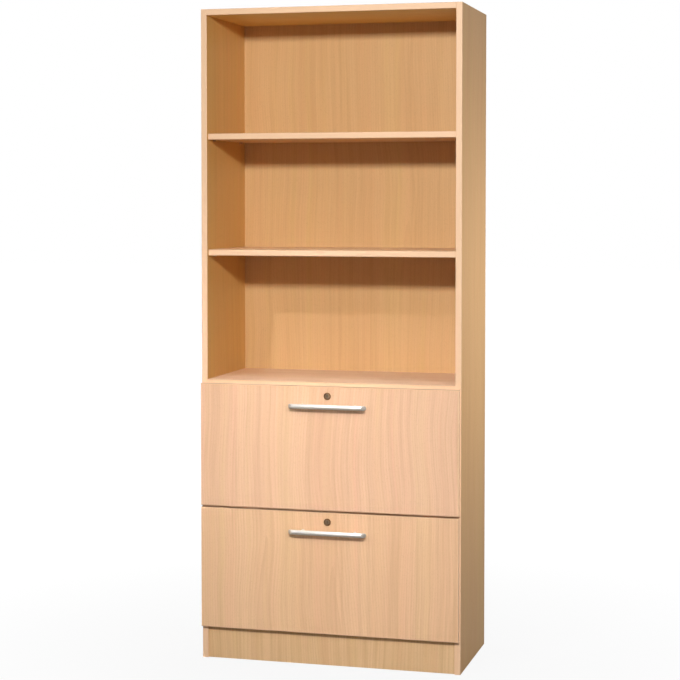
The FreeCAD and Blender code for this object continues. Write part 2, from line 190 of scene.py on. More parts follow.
def grainPlane(tree, coords, grain, shift):
    across, along = grain
    split = splitAxes(tree, coords)
    side = calc(tree, "ADD", split[across], shift[0])
    length = calc(tree, "ADD", split[along], shift[1])
    depth = shift[0] + shift[1]
    drift = grainLayer(tree, joinAxes(tree, side, depth, length), "drift")
    side = calc(tree, "MULTIPLY_ADD", drift, beech["drift"], side)
    return side, joinAxes(tree, side, depth, length)


def growthRings(tree, side, plane):
    leaf = calc(tree, "PINGPONG", side, beech["leafWidth"])
    sway = grainLayer(tree, plane, "sway")
    heart = grainLayer(tree, plane, "heart")
    fray = grainLayer(tree, plane, "fray")
    reach = calc(tree, "MULTIPLY_ADD", sway, beech["swayReach"], -beech["leafWidth"] / 2.0)
    reach = calc(tree, "ADD", leaf, reach)
    depth = calc(tree, "MULTIPLY_ADD", heart, beech["heartWander"], beech["heartDepth"])
    square = calc(tree, "MULTIPLY_ADD", depth, depth, calc(tree, "MULTIPLY", reach, reach))
    count = calc(tree, "DIVIDE", calc(tree, "SQRT", square), beech["ringWidth"])
    count = calc(tree, "MULTIPLY_ADD", fray, beech["ringFray"], count)
    return calc(tree, "POWER", calc(tree, "FRACT", count), beech["ringSharpness"])


def beechFlecks(tree, plane):
    spread = addNode(tree, "ShaderNodeMapping", {"Vector": plane, "Scale": beech["fleckScale"]})
    cells = addNode(tree, "ShaderNodeTexVoronoi", {"Vector": spread.outputs[0], "Scale": 1.0}).outputs
    pick = calc(tree, "GREATER_THAN", colorPart(tree, cells["Color"], "Red"), beech["fleckRarity"])
    fleck = remap(tree, cells["Distance"], *beech["fleckBand"], beech["fleckStrength"], 0.0)
    return calc(tree, "MULTIPLY", fleck, pick)


def beechColor(tree, coords, grain, shift, figure):
    side, plane = grainPlane(tree, coords, grain, shift)
    tone = grainLayer(tree, plane, "tone")
    hue = grainLayer(tree, plane, "hue")
    streak = grainLayer(tree, plane, "streak")
    broad = grainLayer(tree, plane, "broad")
    fibre = grainLayer(tree, plane, "fibre")
    color = blendColors(tree, remap(tree, hue, *beech["hueBand"]), beech["rosy"], beech["straw"])
    color = blendColors(tree, remap(tree, tone, *beech["toneBand"]), color, beech["pale"])
    ringShare = remap(tree, tone, *noiseBand, beech["ringFaintShare"], 1.0)
    rings = calc(tree, "MULTIPLY", growthRings(tree, side, plane), ringShare)
    amounts = (
        calc(tree, "MULTIPLY", rings, figure * beech["ringStrength"]),
        remap(tree, streak, *beech["streakBand"], 0.0, figure * beech["streakStrength"]),
        remap(tree, broad, *beech["broadBand"], 0.0, figure * beech["broadStrength"]),
        remap(tree, fibre, *beech["fibreBand"], 0.0, beech["fibreStrength"]),
    )
    for amount in amounts:
        color = blendColors(tree, amount, color, beech["lateWood"])
    return blendColors(tree, beechFlecks(tree, plane), color, beech["fleck"]), fibre


# Bare chipboard, on the rear edges of the boards
chips = {"scale": 420.0, "dark": (0.36, 0.23, 0.13, 1.0), "light": (0.62, 0.46, 0.30, 1.0)}


def chipboard(tree, coords):
    cells = addNode(tree, "ShaderNodeTexVoronoi", {"Vector": coords, "Scale": chips["scale"]})
    amount = colorPart(tree, cells.outputs["Color"], "Green")
    return blendColors(tree, amount, chips["dark"], chips["light"])


# Painted light and shade: the boards' tints are lit and shaded copies of one laminate, set to the light
# each board gets, darker and browner on inner faces in shade, paler on the deck for painted light and
# reflection, warmer on the lower front and plinth where the light falls off; some boards keep their own
# tint on one facing and have another elsewhere
lightShadeTints = {
    "front": (1.06, 1.07, 1.07),
    "lower": (1.075, 1.085, 1.01),
    "plinth": (1.03, 1.07, 0.90),
    "left": (0.915, 0.835, 0.44),
    "right": (0.97, 0.925, 0.715),
    "deck": (1.15, 1.28, 1.40),
    "shelf": (1.10, 1.15, 1.08),
    "level": (1.0, 0.96, 0.76),
    "top": (1.08, 1.08, 0.53),
    "back": (0.87, 0.85, 0.62),
}
# Boards that keep their own painted light and shade tint on the facing named here, and the other elsewhere
otherLightShadeFaces = {
    "left_side_panel": ("X", "GREATER_THAN", facingLimit, "right"),
    "top_panel": ("Z", "LESS_THAN", -facingLimit, "right"),
    "upper_shelf": ("Z", "LESS_THAN", -facingLimit, "shelf"),
    "lower_shelf": ("Z", "LESS_THAN", -facingLimit, "shelf"),
}
# Grain is the axis across it and the axis along it, shift picks the place in the endless grain,
# and the tint names the board's painted light and shade
boards = {
    "left_side_panel": {"grain": "YZ", "shift": (0.31, 0.40), "lightShadeTint": "left", "gloss": 0.12},
    "right_side_panel": {"grain": "YZ", "shift": (1.17, 2.90), "lightShadeTint": "right", "gloss": 0.12},
    "back_panel": {"grain": "XZ", "shift": (2.43, 5.10), "lightShadeTint": "back", "gloss": 0.25, "rawEdges": False},
    "plinth_board": {"grain": "XZ", "shift": (4.02, 7.35), "lightShadeTint": "plinth", "gloss": 0.3, "figure": 1.8},
    "upper_drawer_front": {"grain": "XZ", "shift": (6.27, 9.20), "lightShadeTint": "front", "gloss": 0.3,
                           "figure": 1.5, "rawEdges": False},
    "lower_drawer_front": {"grain": "XZ", "shift": (6.27, 9.20), "lightShadeTint": "lower", "gloss": 0.3,
                           "figure": 1.7, "rawEdges": False},
    "top_panel": {"grain": "YX", "shift": (8.61, 3.30), "lightShadeTint": "top", "gloss": 0.2},
    "fixed_deck": {"grain": "YX", "shift": (9.38, 6.10), "lightShadeTint": "deck", "gloss": 0.1},
    "bottom_panel": {"grain": "YX", "shift": (3.75, 8.80), "lightShadeTint": "level", "gloss": 0.4, "roughness": 0.34},
    "cross_rail": {"grain": "YX", "shift": (5.54, 1.90), "lightShadeTint": "level", "gloss": 0.4, "roughness": 0.34},
    "upper_shelf": {"grain": "YX", "shift": (7.09, 4.60), "lightShadeTint": "level", "gloss": 0.2},
    "lower_shelf": {"grain": "YX", "shift": (2.86, 9.70), "lightShadeTint": "level", "gloss": 0.2},
}


def beechLaminate(name, grain, shift, lightShadeTint, gloss, figure=1.0, roughness=0.38, rawEdges=True):
    material, tree, shader = newMaterial("beech_" + name)
    coords = objectCoords(tree)
    color, fibre = beechColor(tree, coords, grain, shift, figure)
    facing = facingOf(tree)
    # Painted light and shade: the grain colour is multiplied by the board's tint, on some faces by another
    tone = lightShadeTints[lightShadeTint] + opaque
    if name in otherLightShadeFaces:
        axis, test, limit, otherLightShadeTint = otherLightShadeFaces[name]
        tone = blendColors(tree, calc(tree, test, facing[axis], limit), lightShadeTints[otherLightShadeTint] + opaque, tone)
    color = blendColors(tree, 1.0, color, tone, "MULTIPLY")
    if rawEdges:
        rear = calc(tree, "GREATER_THAN", facing["Y"], facingLimit)
        color = blendColors(tree, rear, color, chipboard(tree, coords))
    rough = roughnessFrom(tree, fibre, roughness, beech["roughSpread"])
    inputs = {"Strength": beech["bump"], "Distance": beech["relief"], "Height": fibre}
    linkShader(tree, shader, color, rough, addNode(tree, "ShaderNodeBump", inputs))
    shader.inputs["Specular IOR Level"].default_value = gloss
    return material


for boardName, board in boards.items():
    paint([boardName], beechLaminate(boardName, **board))
print("beech boards:", len(boards))


# Edge strips: plainer and a little lighter than the boards, faint streaks along their length,
# and darker upward faces, painted shade where they lie in the gaps over the drawer fronts
edging = {"color": (0.90, 0.59, 0.365, 1.0), "streak": (0.85, 0.53, 0.31, 1.0),
          "gapShade": (0.68, 0.62, 0.55, 1.0), "streakAlong": 6.0, "streakAcross": 260.0,
          "streakBand": (0.4, 0.75), "streakStrength": 0.45, "roughness": 0.45, "roughSpread": (0.04, 0.06)}


def edgeStrip(name, along):
    material, tree, shader = newMaterial(name)
    scale = [edging["streakAlong"] if axis == along else edging["streakAcross"] for axis in "XYZ"]
    streak = stretchedNoise(tree, objectCoords(tree), scale, **streaky)
    amount = remap(tree, streak, *edging["streakBand"], 0.0, edging["streakStrength"])
    color = blendColors(tree, amount, edging["color"], edging["streak"])
    # Painted shade on the upward faces, which lie in the gaps
    topFaces = calc(tree, "GREATER_THAN", facingOf(tree)["Z"], facingLimit)
    color = blendColors(tree, topFaces, color, edging["gapShade"], "MULTIPLY")
    rough = roughnessFrom(tree, streak, edging["roughness"], edging["roughSpread"])
    linkShader(tree, shader, color, rough)
    return material


levelBands = ["board_edge_bands"] + [drawer + "front_edge_bands" for drawer in drawers]
paint(["side_edge_bands"], edgeStrip("edging_upright", "Z"))
paint(levelBands, edgeStrip("edging_level", "X"))
print("edge strips: upright and level")


# Metals: brushed handle steel, dark lock ring, nickel, zinc slides and polished balls
metals = {
    "satin_steel": {"color": (0.86, 0.82, 0.775), "roughness": 0.50, "brush": (8.0, 900.0, 900.0)},
    "gunmetal": {"color": (0.26, 0.115, 0.045), "roughness": 0.34, "brush": (300.0, 300.0, 300.0)},
    "nickel": {"color": (0.62, 0.42, 0.27), "roughness": 0.32, "brush": (300.0, 300.0, 300.0)},
    "zinc_steel": {"color": (0.55, 0.57, 0.60), "roughness": 0.36, "brush": (160.0, 20.0, 160.0)},
    "ball_steel": {"color": (0.70, 0.71, 0.72), "roughness": 0.14, "brush": (500.0, 500.0, 500.0)},
}
brushing = {"darkShare": 0.8, "roughSpread": (0.06, 0.08)}


def brushedMetal(name):
    look = metals[name]
    material, tree, shader = newMaterial(name + "_finish")
    brush = stretchedNoise(tree, objectCoords(tree), look["brush"], **streaky)
    dark = tuple(brushing["darkShare"] * value for value in look["color"])
    color = blendColors(tree, remap(tree, brush, *noiseBand), dark + opaque, look["color"] + opaque)
    linkShader(tree, shader, color, roughnessFrom(tree, brush, look["roughness"], brushing["roughSpread"]))
    shader.inputs["Metallic"].default_value = 1.0
    return material


# Coatings: two close tones mixed by noise, with a fine bump
coatings = {
    "drawer_paint": {"low": (0.60, 0.61, 0.60, 1.0), "high": (0.66, 0.67, 0.66, 1.0), "roughness": 0.42,
                     "grain": (900.0, 900.0, 900.0), "relief": 0.00008},
    "dowel_wood": {"low": (0.58, 0.38, 0.22, 1.0), "high": (0.70, 0.49, 0.30, 1.0), "roughness": 0.65,
                   "grain": (40.0, 900.0, 900.0), "relief": 0.0001},
    "rubber": {"low": (0.10, 0.10, 0.10, 1.0), "high": (0.15, 0.15, 0.15, 1.0), "roughness": 0.68,
               "grain": (1200.0, 1200.0, 1200.0), "relief": 0.00005},
    "black_plastic": {"low": (0.028, 0.028, 0.03, 1.0), "high": (0.05, 0.05, 0.052, 1.0), "roughness": 0.45,
                      "grain": (1500.0, 1500.0, 1500.0), "relief": 0.00004},
}
coat = {"cloud": (14.0, 14.0, 14.0), "cloudShare": 0.5, "toneBand": (0.35, 0.65), "roughSpread": (0.05, 0.07),
        "bump": 0.3}


def coating(name):
    look = coatings[name]
    material, tree, shader = newMaterial(name + "_finish")
    coords = objectCoords(tree)
    grain = stretchedNoise(tree, coords, look["grain"])
    cloud = calc(tree, "MULTIPLY", stretchedNoise(tree, coords, coat["cloud"]), coat["cloudShare"])
    tone = calc(tree, "MULTIPLY_ADD", grain, 1.0 - coat["cloudShare"], cloud)
    color = blendColors(tree, remap(tree, tone, *coat["toneBand"]), look["low"], look["high"])
    rough = roughnessFrom(tree, grain, look["roughness"], coat["roughSpread"])
    inputs = {"Strength": coat["bump"], "Distance": look["relief"], "Height": grain}
    linkShader(tree, shader, color, rough, addNode(tree, "ShaderNodeBump", inputs))
    return material


finishes = {name: brushedMetal(name) for name in metals}
finishes.update({name: coating(name) for name in coatings})
sheetPieces = ("left_wall", "right_wall", "inner_front", "back_wall", "floor_sheet")
for drawer in drawers:
    slideNodes = [name for name in nodes if name.startswith(drawer) and "_slide_" in name]
    paint([drawer + "drawer_" + piece for piece in sheetPieces], finishes["drawer_paint"])
    paint([drawer + piece for piece in ("lock_cam", "lock_strike")], finishes["zinc_steel"])
    paint(slideNodes, finishes["zinc_steel"])
    paint([drawer + "file_rails"], finishes["satin_steel"])
paint(["carcass_dowels"], finishes["dowel_wood"])
print("finishes:", ", ".join(finishes))


# Mesh helpers: pieces sit at the origin, their places are in their vertices
sharpAngle = 32.0


def meshFrom(name, shape):
    bmesh.ops.recalc_face_normals(shape, faces=shape.faces)
    mesh = bpy.data.meshes.new(name)
    shape.to_mesh(mesh)
    shape.free()
    return mesh


def placeMesh(name, mesh, finish, body, replaced=()):
    mesh.materials.clear()
    mesh.materials.append(finishes[finish])
    mesh.shade_smooth()
    mesh.set_sharp_from_angle(angle=math.radians(sharpAngle))
    piece = bpy.data.objects.new(name, mesh)
    scene.collection.objects.link(piece)
    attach(piece, body)
    if replaced:
        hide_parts(*replaced)


def addPiece(name, shape, finish, body, replaced=()):
    placeMesh(name, meshFrom(name, shape), finish, body, replaced)


def middleOf(low, high, axis):
    return (low[axis] + high[axis]) / 2.0


def addLoop(shape, points):
    return [shape.verts.new(point) for point in points]


def joinLoops(shape, first, second):
    for number in range(len(first)):
        after = (number + 1) % len(first)
        shape.faces.new((first[number], first[after], second[after], second[number]))


def circle(radius, sides):
    angles = [2.0 * math.pi * (number + 0.5) / sides for number in range(sides)]
    return [(radius * math.cos(angle), radius * math.sin(angle)) for angle in angles]


def turned(shape, profile, sides, closed=False):
    loops = []
    for radius, height in profile:
        loops.append(addLoop(shape, [(x, y, height) for x, y in circle(radius, sides)]))
    for first, second in zip(loops, loops[1:]):
        joinLoops(shape, first, second)
    if closed:
        joinLoops(shape, loops[-1], loops[0])
    return loops


def fillBetween(shape, *loops):
    edges = []
    for loop in loops:
        for first, second in zip(loop, loop[1:] + loop[:1]):
            edges.append(shape.edges.get((first, second)) or shape.edges.new((first, second)))
    bmesh.ops.triangle_fill(shape, edges=edges, use_beauty=True)


# Handles: a round bar with mitred, softly broken ends on two posts that are coped to it
handleShape = {"sides": 64, "edge": 0.0007, "softShare": 0.3, "seat": 0.00005, "postSides": 40,
               "footEdge": 0.0004}


def handleBar(drawer):
    low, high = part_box(drawer + "handle_bar")
    radius = (high[2] - low[2]) / 2.0
    axisY, axisZ = low[1] + radius, low[2] + radius
    edge, sides = handleShape["edge"], handleShape["sides"]
    soft = handleShape["softShare"] * edge
    angles = [2.0 * math.pi * number / sides for number in range(sides)]
    shape = bmesh.new()
    loops = []
    for end, inward in ((low[0], 1.0), (high[0], -1.0)):
        steps = [(radius - edge, 0.0), (radius - soft, soft), (radius, edge)]
        for ringRadius, inset in steps if inward > 0 else reversed(steps):
            points = []
            for angle in angles:
                y = axisY + ringRadius * math.cos(angle)
                x = end + inward * (axisY + radius - y + inset)
                points.append((x, y, axisZ + ringRadius * math.sin(angle)))
            loops.append(addLoop(shape, points))
    for first, second in zip(loops, loops[1:]):
        joinLoops(shape, first, second)
    shape.faces.new(loops[0])
    shape.faces.new(loops[-1])
    addPiece(drawer + "handle_bar_turned", shape, "satin_steel", drawer + "drawer",
             [drawer + "handle_bar"])


def handlePosts(drawer):
    low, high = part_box(drawer + "handle_posts")
    barLow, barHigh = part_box(drawer + "handle_bar")
    radius = (high[2] - low[2]) / 2.0
    barRadius = (barHigh[2] - barLow[2]) / 2.0
    barY, z = barLow[1] + barRadius, low[2] + radius
    edge = handleShape["footEdge"]
    spokes = circle(1.0, handleShape["postSides"])
    footRadius = radius - edge
    shape = bmesh.new()
    for x in (low[0] + radius, high[0] - radius):
        foot = addLoop(shape, [(x + footRadius * c, high[1], z + footRadius * s) for c, s in spokes])
        rim = addLoop(shape, [(x + radius * c, high[1] - edge, z + radius * s) for c, s in spokes])
        points = []
        for c, s in spokes:
            reach = math.sqrt((barRadius + handleShape["seat"]) ** 2 - (radius * s) ** 2)
            points.append((x + radius * c, barY + reach, z + radius * s))
        tip = addLoop(shape, points)
        joinLoops(shape, foot, rim)
        joinLoops(shape, rim, tip)
        shape.faces.new(foot)
        fillBetween(shape, tip)
    addPiece(drawer + "handle_posts_coped", shape, "satin_steel", drawer + "drawer",
             [drawer + "handle_posts"])


for drawer in drawers:
    handleBar(drawer)
    handlePosts(drawer)
print("handles:", len(drawers))


# Locks: turned ring and barrel, a plug with a stepped keyway, and the nut behind the front
# mouthShares say how far the bore's mouth opens, starts and ends, as shares of the ring's dish
lockShape = {
    "sides": 64, "ringFlat": 0.0034, "ringEdge": 0.0009, "softShare": 0.3, "ringDish": 0.0004,
    "mouthShares": (0.5, 1.2, 2.0), "barrel": 0.009, "running": 0.0003, "plugEdge": 0.0003,
    "keyWidth": 0.0024, "keyHeight": 0.0086, "keyStep": 0.0008, "keyDepth": 0.012, "tail": 0.0035,
    "tailLength": 0.0053, "nutSides": 6, "nutRadius": 0.013, "nutThickness": 0.0032, "nutEdge": 0.0005,
}


def facingFront(shape, low, high, y):
    place = Vector((middleOf(low, high, 0), y, middleOf(low, high, 2)))
    turn = Matrix.Translation(place) @ Matrix.Rotation(math.radians(90.0), 4, "X")
    bmesh.ops.transform(shape, matrix=turn, verts=shape.verts)


def lockHousing(drawer):
    low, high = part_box(drawer + "lock_housing")
    plugLow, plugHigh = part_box(drawer + "lock_plug")
    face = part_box(drawer + "drawer_front")[0][1]
    rim = (high[2] - low[2]) / 2.0
    bore = (plugHigh[2] - plugLow[2]) / 2.0 + lockShape["running"]
    proud, depth = face - low[1], face - high[1]
    edge, dish = lockShape["ringEdge"], lockShape["ringDish"]
    soft = lockShape["softShare"] * edge
    mouthOut, mouthStart, mouthEnd = (share * dish for share in lockShape["mouthShares"])
    flat, barrel = rim - lockShape["ringFlat"], lockShape["barrel"]
    profile = [
        (bore, depth), (bore, proud - mouthEnd), (bore + mouthOut, proud - mouthStart),
        (flat, proud - dish), (flat + dish, proud),
        (rim - edge, proud), (rim - soft, proud - soft), (rim, proud - edge),
        (rim, 0.0), (barrel, 0.0), (barrel, depth),
    ]
    shape = bmesh.new()
    turned(shape, profile, lockShape["sides"], closed=True)
    facingFront(shape, low, high, face)
    addPiece(drawer + "lock_ring_turned", shape, "gunmetal", drawer + "drawer",
             [drawer + "lock_housing"])


def lockPlug(drawer):
    low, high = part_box(drawer + "lock_plug")
    radius = (high[2] - low[2]) / 2.0
    depth = high[1] - low[1] - lockShape["tailLength"]
    edge, tail = lockShape["plugEdge"], lockShape["tail"]
    shape = bmesh.new()
    loops = turned(shape, [(radius - edge, 0.0), (radius, -edge), (radius, -depth)], lockShape["sides"])
    wide, tall = lockShape["keyWidth"] / 2.0, lockShape["keyHeight"] / 2.0
    step = lockShape["keyStep"]
    keyway = [(-wide, -tall), (wide, -tall), (wide, -step), (wide - step, -step),
              (wide - step, step), (wide, step), (wide, tall), (-wide, tall)]
    mouth = addLoop(shape, [(x, z, 0.0) for x, z in keyway])
    bottom = addLoop(shape, [(x, z, -lockShape["keyDepth"]) for x, z in keyway])
    joinLoops(shape, mouth, bottom)
    fillBetween(shape, bottom)
    fillBetween(shape, loops[0], mouth)
    square = [(-tail, -tail), (tail, -tail), (tail, tail), (-tail, tail)]
    tailRoot = addLoop(shape, [(x, z, -depth) for x, z in square])
    tailEnd = addLoop(shape, [(x, z, -depth - lockShape["tailLength"]) for x, z in square])
    joinLoops(shape, tailRoot, tailEnd)
    shape.faces.new(tailEnd)
    fillBetween(shape, loops[-1], tailRoot)
    facingFront(shape, low, high, low[1])
    addPiece(drawer + "lock_plug_turned", shape, "nickel", drawer + "lock",
             [drawer + "lock_plug"])


def lockNut(drawer):
    low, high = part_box(drawer + "lock_housing")
    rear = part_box(drawer + "drawer_front")[1][1]
    edge, radius = lockShape["nutEdge"], lockShape["nutRadius"]
    bore = lockShape["barrel"] + lockShape["running"]
    thick = lockShape["nutThickness"]
    profile = [(bore, 0.0), (radius, 0.0), (radius, edge - thick), (radius - edge, -thick), (bore, -thick)]
    shape = bmesh.new()
    turned(shape, profile, lockShape["nutSides"], closed=True)
    facingFront(shape, low, high, rear)
    addPiece(drawer + "lock_nut", shape, "zinc_steel", drawer + "drawer")


for drawer in drawers:
    lockHousing(drawer)
    lockPlug(drawer)
    lockNut(drawer)
print("locks:", len(drawers))


# Repeated fittings: a unit shape set in rows on points that carry a facing, by one node tree
rowInputs = {"Geometry": "Geometry", "Unit": "Object", "Finish": "Material", "Radius": "Float",
             "Height": "Float", "Count": "Int", "Pitch": "Float"}


def unitTree():
    tree = bpy.data.node_groups.new("rows_of_units", "GeometryNodeTree")
    for label, kind in rowInputs.items():
        tree.interface.new_socket(label, in_out="INPUT", socket_type="NodeSocket" + kind)
    tree.interface.new_socket("Geometry", in_out="OUTPUT", socket_type="NodeSocketGeometry")
    given = addNode(tree, "NodeGroupInput").outputs
    step = joinAxes(tree, 0.0, given["Pitch"], 0.0)
    row = addNode(tree, "GeometryNodeMeshLine", {"Count": given["Count"], "Offset": step})
    rows = addNode(tree, "GeometryNodeInstanceOnPoints", {
        "Points": given["Geometry"], "Instance": row.outputs[0]})
    places = addNode(tree, "GeometryNodeRealizeInstances", {"Geometry": rows.outputs[0]})
    facing = addNode(tree, "GeometryNodeInputNamedAttribute", {"Name": "facing"}, data_type="FLOAT_VECTOR")
    turn = addNode(tree, "FunctionNodeAlignRotationToVector", {
        "Vector": facing.outputs["Attribute"]}, axis="Z")
    unit = addNode(tree, "GeometryNodeObjectInfo", {"Object": given["Unit"], "As Instance": True})
    size = joinAxes(tree, given["Radius"], given["Radius"], given["Height"])
    copies = addNode(tree, "GeometryNodeInstanceOnPoints", {
        "Points": places.outputs[0], "Instance": unit.outputs["Geometry"],
        "Rotation": turn.outputs[0], "Scale": size})
    solid = addNode(tree, "GeometryNodeRealizeInstances", {"Geometry": copies.outputs[0]})
    painted = addNode(tree, "GeometryNodeSetMaterial", {
        "Geometry": solid.outputs[0], "Material": given["Finish"]})
    addNode(tree, "NodeGroupOutput", {"Geometry": painted.outputs[0]})
    return tree


rowsOfUnits = unitTree()


def setRows(name, unit, places, finish, body, radius, height, slotName=None,
            count=1, pitch=0.0, replaced=()):
    spots, facings = zip(*places)
    mesh = bpy.data.meshes.new(name + "_places")
    mesh.from_pydata(spots, [], [])
    store = mesh.attributes.new("facing", "FLOAT_VECTOR", "POINT")
    for point, facing in zip(store.data, facings):
        point.vector = facing
    holder = bpy.data.objects.new(name + "_places", mesh)
    scene.collection.objects.link(holder)
    modifier = holder.modifiers.new("rows", "NODES")
    modifier.node_group = rowsOfUnits
    values = {"Unit": units[unit], "Finish": finishes[finish], "Radius": radius, "Height": height,
              "Count": count, "Pitch": pitch}
    for item in rowsOfUnits.interface.items_tree:
        if item.in_out == "INPUT" and item.name in values:
            modifier[item.identifier] = values[item.name]
    bpy.context.view_layer.update()
    shown = holder.evaluated_get(bpy.context.evaluated_depsgraph_get())
    made = bpy.data.meshes.new_from_object(shown)
    made.name = name
    holder.modifiers.clear()
    bpy.data.objects.remove(holder)
    placeMesh(name, made, finish, body, replaced)


# Unit shapes: screw, dome and ball are one across the radius and one high, the pin has its real size
unitShape = {
    "screwSides": 24, "headShares": ((1.0, 0.0), (1.0, 0.45), (0.86, 0.86), (0.62, 1.0)),
    "crossArm": 0.42, "crossHalf": 0.13, "crossDepth": 0.55, "domeSides": 24,
    "domeShares": ((1.0, 0.0), (0.97, 0.40), (0.82, 0.74), (0.52, 0.94), (0.18, 1.0)),
    "ballRings": 8, "pinSides": 24, "mergeWithin": 1e-6,
}
pinShape = {"inSide": 0.008, "reach": 0.009, "radius": 0.0025, "edge": 0.0005, "collar": 0.0042,
            "collarDepth": 0.0006}


def addUnit(name, shape):
    bmesh.ops.remove_doubles(shape, verts=shape.verts, dist=unitShape["mergeWithin"])
    unit = bpy.data.objects.new(name, meshFrom(name, shape))
    scene.collection.objects.link(unit)
    return unit


def screwUnit():
    shape = bmesh.new()
    loops = turned(shape, unitShape["headShares"], unitShape["screwSides"])
    shape.faces.new(loops[0])
    arm, half = unitShape["crossArm"], unitShape["crossHalf"]
    quarter = [(half, half), (half, arm), (-half, arm)]
    cross = []
    for turn in range(4):
        cross += quarter
        quarter = [(-y, x) for x, y in quarter]
    mouth = addLoop(shape, [(x, y, 1.0) for x, y in cross])
    bottom = addLoop(shape, [(x, y, 1.0 - unitShape["crossDepth"]) for x, y in cross])
    joinLoops(shape, mouth, bottom)
    fillBetween(shape, loops[-1], mouth)
    fillBetween(shape, bottom)
    return addUnit("screw_unit", shape)


def roundUnit(name, profile, sides):
    shape = bmesh.new()
    loops = turned(shape, profile, sides)
    shape.faces.new(loops[0])
    shape.faces.new(loops[-1])
    return addUnit(name, shape)


def ballUnit():
    rings = unitShape["ballRings"]
    shape = bmesh.new()
    bmesh.ops.create_uvsphere(shape, u_segments=2 * rings, v_segments=rings, radius=1.0)
    return addUnit("ball_unit", shape)


def pinProfile():
    radius, edge = pinShape["radius"], pinShape["edge"]
    inSide, reach = pinShape["inSide"], pinShape["reach"]
    collar, collarDepth = pinShape["collar"], pinShape["collarDepth"]
    return [(radius - edge, -inSide), (radius, edge - inSide), (radius, 0.0), (collar, 0.0),
            (collar, collarDepth), (radius, collarDepth), (radius, reach - edge), (radius - edge, reach)]


units = {
    "screw": screwUnit(),
    "dome": roundUnit("dome_unit", unitShape["domeShares"], unitShape["domeSides"]),
    "ball": ballUnit(),
    "pin": roundUnit("pin_unit", pinProfile(), unitShape["pinSides"]),
}


# Screws, rivet tails, buffers and shelf pins at the places that the boards, rails and sheets give
fittings = {
    "slotInset": 0.035, "strikeAside": 0.009, "strikeInset": 0.0065, "strikeSheet": 0.0015,
    "railSheet": 0.0012, "wallSheet": 0.001, "frontAside": 0.28, "frontLow": 0.05, "frontHigh": 0.04,
    "bufferInset": 0.03,
}
# Radius and height of each kind of head
heads = {
    "slide_cabinet_screws": (0.0034, 0.0014), "lock_strike_screws": (0.0032, 0.0018),
    "slide_screws": (0.0038, 0.0020), "slide_rivet_tails": (0.0034, 0.0016),
    "handle_screws": (0.0042, 0.0022), "front_screws": (0.0040, 0.0019), "front_buffers": (0.0042, 0.0019),
}
slideSides = {"left_": -1.0, "right_": 1.0}
rearward = (0.0, 1.0, 0.0)
upward = (0.0, 0.0, 1.0)
downward = (0.0, 0.0, -1.0)


def railPlaces(rail, side, x, facing):
    low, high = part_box(rail)
    ends = (low[1] + fittings["slotInset"], high[1] - fittings["slotInset"])
    return [((x, y, middleOf(low, high, 2)), (facing * side, 0.0, 0.0)) for y in ends]


def zincHeads(prefix, name, unit, places, body):
    setRows(prefix + name, unit, places, "zinc_steel", body, *heads[name], "zinc_steel")


def carcassFittings():
    rails, strikes, pins = [], [], []
    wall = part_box("right_side_panel")[0][0]
    for drawer in drawers:
        for sideName, side in slideSides.items():
            rails += railPlaces(drawer + sideName + "slide_cabinet_rail", side, side * wall, -1.0)
        low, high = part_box(drawer + "lock_strike")
        y, z = high[1] - fittings["strikeInset"], high[2] - fittings["strikeSheet"]
        for aside in (-fittings["strikeAside"], fittings["strikeAside"]):
            strikes.append(((middleOf(low, high, 0) + aside, y, z), downward))
    pinLow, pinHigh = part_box("shelf_pins")
    radius = pinShape["radius"]
    for shelf in ("upper_shelf", "lower_shelf"):
        for y in (pinLow[1] + radius, pinHigh[1] - radius):
            for side in slideSides.values():
                pins.append(((side * wall, y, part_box(shelf)[0][2] - radius), (-side, 0.0, 0.0)))
    zincHeads("", "slide_cabinet_screws", "screw", rails, "carcass")
    zincHeads("", "lock_strike_screws", "screw", strikes, "carcass")
    setRows("shelf_pins_turned", "pin", pins, "nickel", "carcass", 1.0, 1.0, "nickel",
            replaced=["shelf_pins"])


def drawerFittings(drawer):
    body = drawer + "drawer"
    frontLow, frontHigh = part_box(drawer + "drawer_front")
    sheetLow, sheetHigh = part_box(drawer + "drawer_inner_front")
    postLow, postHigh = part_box(drawer + "handle_posts")
    edgeLow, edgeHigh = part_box("right_side_panel")
    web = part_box(drawer + "drawer_right_wall")[1][0]
    slides, tails, fronts, buffers = [], [], [], []
    for sideName, side in slideSides.items():
        rail = drawer + sideName + "slide_drawer_rail"
        slides += railPlaces(rail, side, side * (web + fittings["railSheet"]), 1.0)
        tails += railPlaces(rail, side, side * (web - fittings["wallSheet"]), -1.0)
        for z in (frontLow[2] + fittings["bufferInset"], frontHigh[2] - fittings["bufferInset"]):
            buffers.append(((side * middleOf(edgeLow, edgeHigh, 0), frontHigh[1], z), rearward))
    radius = (postHigh[2] - postLow[2]) / 2.0
    handleX = (postLow[0] + radius, postHigh[0] - radius)
    handles = [((x, frontHigh[1], middleOf(postLow, postHigh, 2)), rearward) for x in handleX]
    for x in (-fittings["frontAside"], 0.0, fittings["frontAside"]):
        for z in (sheetLow[2] + fittings["frontLow"], sheetHigh[2] - fittings["frontHigh"]):
            fronts.append(((x, sheetHigh[1], z), rearward))
    zincHeads(drawer, "slide_screws", "screw", slides, body)
    zincHeads(drawer, "slide_rivet_tails", "dome", tails, body)
    zincHeads(drawer, "handle_screws", "screw", handles, body)
    zincHeads(drawer, "front_screws", "screw", fronts, body)
    setRows(drawer + "front_buffers", "dome", buffers, "rubber", body, *heads["front_buffers"])


carcassFittings()
for drawer in drawers:
    drawerFittings(drawer)
print("fittings: screws, tails, buffers and pins")


# Ball cages: thin strips with round pockets, filled with balls from end to end
cageShape = {"ballRadius": 0.002, "pocket": 0.0021, "pocketSides": 16, "count": 13, "pitch": 0.0115,
             "thickness": 0.0004, "outerAcross": 0.00325, "outerUp": 0.01925, "innerAcross": 0.009326,
             "innerUp": 0.0155, "outerStrip": (0.0015, 0.0065), "innerRim": 0.0026}


